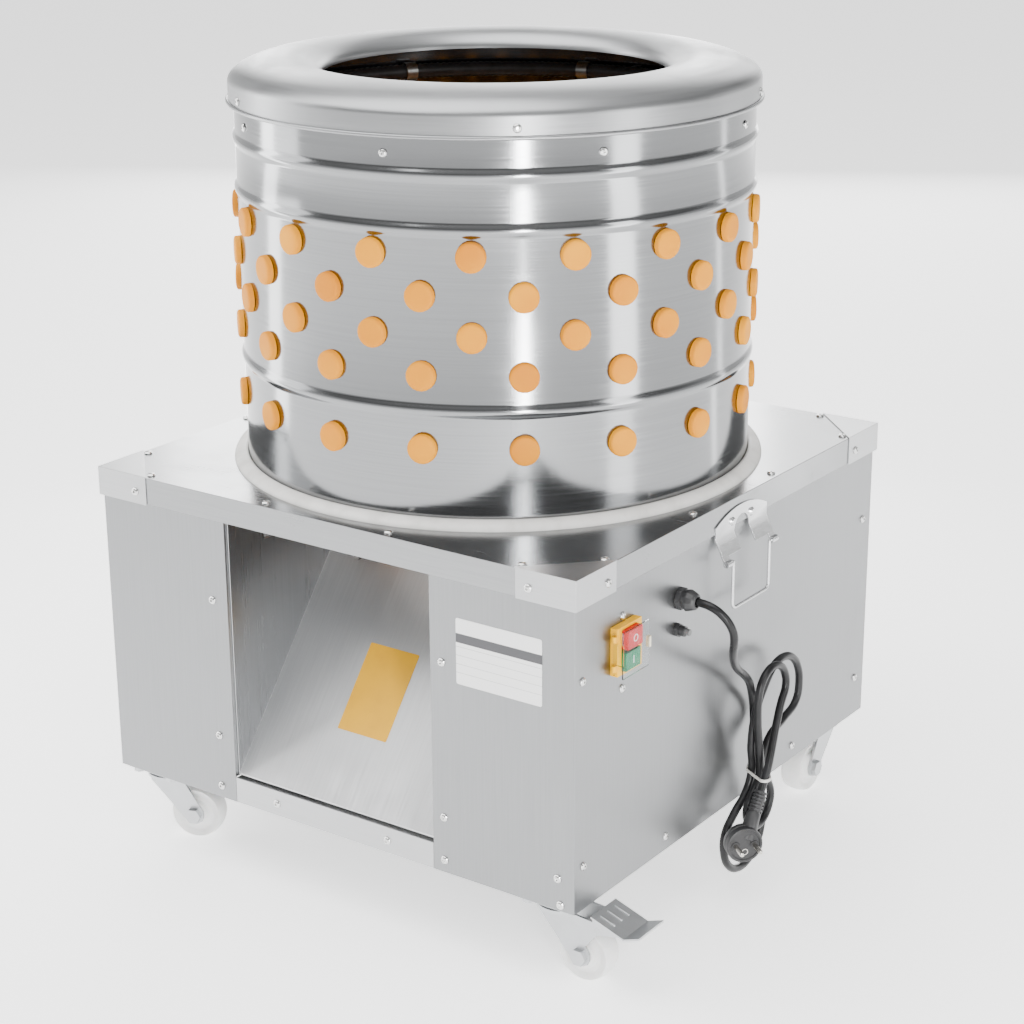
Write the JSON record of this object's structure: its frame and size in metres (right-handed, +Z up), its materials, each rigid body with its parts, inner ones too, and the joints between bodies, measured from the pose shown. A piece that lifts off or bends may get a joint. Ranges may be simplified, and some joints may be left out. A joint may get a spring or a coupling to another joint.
{
  "type": "poultry plucker",
  "caption": "Drum poultry plucker: rubber-fingered drum over a spinning fingered plate, on a square cabinet with a feather chute, belt-driven motor, push-button switch and castors",
  "frame": {"origin": "on the floor under the drum's axis, at the centre of the cabinet", "axes": "+Z up, -Y to the front where the chute opens, +X to the right side with the switch and the cord"},
  "size_m": [0.6907, 0.5712, 0.798],
  "materials": {
    "panel_steel": "bright rolled stainless sheet, nearly mirror smooth",
    "lid_steel": "satin stainless sheet",
    "drum_steel": "polished stainless with vertical streaks",
    "collar_steel": "spun satin stainless",
    "frame_steel": "zinc-coated steel angle",
    "plate_steel": "brushed stainless plate",
    "foot_rubber": "pale smooth rubber",
    "spray_plastic": "dark matt pipe",
    "clip_steel": "bent steel strip",
    "finger_rubber": "tan-orange natural rubber",
    "sweeper_rubber": "black rubber blade",
    "shaft_steel": "turned steel",
    "cast_grey": "grey painted casting",
    "belt_rubber": "black belt rubber",
    "motor_paint": "blue-grey enamel",
    "black_plastic": "black moulded plastic",
    "switch_yellow": "yellow moulded frame",
    "button_red": "red push button",
    "button_green": "green push button",
    "flap_clear": "clear soft cover",
    "plunger_grey": "grey plunger",
    "handle_steel": "bright bent sheet and wire",
    "screw_steel": "bright screw heads",
    "zinc": "bright zinc plating",
    "wheel_white": "white hard plastic",
    "cord_black": "black glossy cord sheath",
    "tie_pale": "thin pale tie"
  },
  "bodies": {
    "cabinet": {"frame": "frame_steel", "front_panel_left": "panel_steel", "front_panel_right": "panel_steel", "front_sill": "lid_steel", "side_panel_left": "panel_steel", "side_panel_right": "panel_steel", "rear_panel": "panel_steel", "lid": "lid_steel", "corner_caps": "lid_steel", "chute": "drum_steel", "drum_shell": "drum_steel", "drum_pan": "drum_steel", "drum_foot_ring": "foot_rubber", "collar": "collar_steel", "spray_ring": "spray_plastic", "spray_clips": "clip_steel", "wall_fingers": "finger_rubber", "bearing_housing": "cast_grey", "main_bearings": "shaft_steel", "v_belt": "belt_rubber", "motor_body": "motor_paint", "motor_fan_cover": "motor_paint", "motor_terminal_box": "black_plastic", "motor_mount": "frame_steel", "cable_gland": "black_plastic", "switch_frame": "switch_yellow", "switch_body": "black_plastic", "reset_body": "black_plastic", "handle_plates": "handle_steel", "cabinet_screws": "screw_steel", "drum_screws": "screw_steel", "castor_plates": "zinc", "cord_lead": "cord_black", "cord_hank": "cord_black", "cord_tie": "tie_pale", "mains_plug": "black_plastic"},
    "rotor": {"main_shaft": "shaft_steel", "feather_plate": "plate_steel", "plate_fingers": "finger_rubber", "sweeper_blades": "sweeper_rubber", "large_pulley": "cast_grey"},
    "motor_rotor": {"motor_shaft": "shaft_steel", "small_pulley": "cast_grey", "motor_fan": "black_plastic"},
    "stop_button": {"stop_button": "button_red"},
    "start_button": {"start_button": "button_green"},
    "switch_flap": {"switch_flap": "flap_clear"},
    "reset_button": {"reset_button": "plunger_grey"},
    "bail_right": {"handle_bail_right": "handle_steel"},
    "bail_left": {"handle_bail_left": "handle_steel"},
    "brake_front": {"brake_pedal_front": "zinc"},
    "brake_rear": {"brake_pedal_rear": "zinc"},
    "swivel_front_right": {"castor_fork_front_right": "zinc"},
    "wheel_front_right": {"castor_wheel_front_right": "wheel_white"},
    "swivel_front_left": {"castor_fork_front_left": "zinc"},
    "wheel_front_left": {"castor_wheel_front_left": "wheel_white"},
    "swivel_rear_right": {"castor_fork_rear_right": "zinc"},
    "wheel_rear_right": {"castor_wheel_rear_right": "wheel_white"},
    "swivel_rear_left": {"castor_fork_rear_left": "zinc"},
    "wheel_rear_left": {"castor_wheel_rear_left": "wheel_white"}
  },
  "joints": [
    {"name": "plate_spin", "type": "hinge", "parent": "cabinet", "child": "rotor", "pos_m": [0, 0, 0.375], "axis": [0, 0, 1], "continuous": true},
    {"name": "motor_spin", "type": "hinge", "parent": "cabinet", "child": "motor_rotor", "pos_m": [0, 0.165, 0.2], "axis": [0, 0, 1], "continuous": true},
    {"name": "stop_press", "type": "slide", "parent": "cabinet", "child": "stop_button", "axis": [-1, 0, 0], "range_m": [0, 0.0025], "stiffness_N_per_m": 800},
    {"name": "start_press", "type": "slide", "parent": "cabinet", "child": "start_button", "axis": [-1, 0, 0], "range_m": [0, 0.0025], "stiffness_N_per_m": 800},
    {"name": "reset_press", "type": "slide", "parent": "cabinet", "child": "reset_button", "axis": [-1, 0, 0], "range_m": [0, 0.002], "stiffness_N_per_m": 800},
    {"name": "flap_hinge", "type": "hinge", "parent": "cabinet", "child": "switch_flap", "pos_m": [0.288, -0.2264, 0.318], "axis": [0, 0, -1], "range_deg": [0, 100]},
    {"name": "bail_right_swing", "type": "hinge", "parent": "cabinet", "child": "bail_right", "pos_m": [0.297, 0, 0.349], "axis": [0, -1, 0], "range_deg": [0, 95]},
    {"name": "bail_left_swing", "type": "hinge", "parent": "cabinet", "child": "bail_left", "pos_m": [-0.297, 0, 0.349], "axis": [0, 1, 0], "range_deg": [0, 95]},
    {"name": "swivel_front_right_turn", "type": "hinge", "parent": "cabinet", "child": "swivel_front_right", "pos_m": [0.246, -0.246, 0.071], "axis": [0, 0, 1], "continuous": true},
    {"name": "wheel_front_right_roll", "type": "hinge", "parent": "swivel_front_right", "child": "wheel_front_right", "pos_m": [0.276, -0.246, 0.028], "axis": [0, 1, 0], "continuous": true},
    {"name": "swivel_front_left_turn", "type": "hinge", "parent": "cabinet", "child": "swivel_front_left", "pos_m": [-0.246, -0.246, 0.071], "axis": [0, 0, 1], "continuous": true},
    {"name": "wheel_front_left_roll", "type": "hinge", "parent": "swivel_front_left", "child": "wheel_front_left", "pos_m": [-0.21781, -0.23574, 0.028], "axis": [-0.342, 0.9397, 0], "continuous": true},
    {"name": "swivel_rear_right_turn", "type": "hinge", "parent": "cabinet", "child": "swivel_rear_right", "pos_m": [0.246, 0.246, 0.071], "axis": [0, 0, 1], "continuous": true},
    {"name": "wheel_rear_right_roll", "type": "hinge", "parent": "swivel_rear_right", "child": "wheel_rear_right", "pos_m": [0.246, 0.216, 0.028], "axis": [1, 0, 0], "continuous": true},
    {"name": "swivel_rear_left_turn", "type": "hinge", "parent": "cabinet", "child": "swivel_rear_left", "pos_m": [-0.246, 0.246, 0.071], "axis": [0, 0, 1], "continuous": true},
    {"name": "wheel_rear_left_roll", "type": "hinge", "parent": "swivel_rear_left", "child": "wheel_rear_left", "pos_m": [-0.276, 0.246, 0.028], "axis": [0, 1, 0], "continuous": true},
    {"name": "brake_front_press", "type": "hinge", "parent": "swivel_front_right", "child": "brake_front", "pos_m": [0.296, -0.246, 0.062], "axis": [0, 1, 0], "range_deg": [0, 15]},
    {"name": "brake_rear_press", "type": "hinge", "parent": "swivel_rear_left", "child": "brake_rear", "pos_m": [-0.296, 0.246, 0.062], "axis": [0, -1, 0], "range_deg": [0, 15]}
  ],
  "couplings": [
    {"joint": "motor_spin", "follows": "plate_spin", "ratio": 3.5}
  ]
}
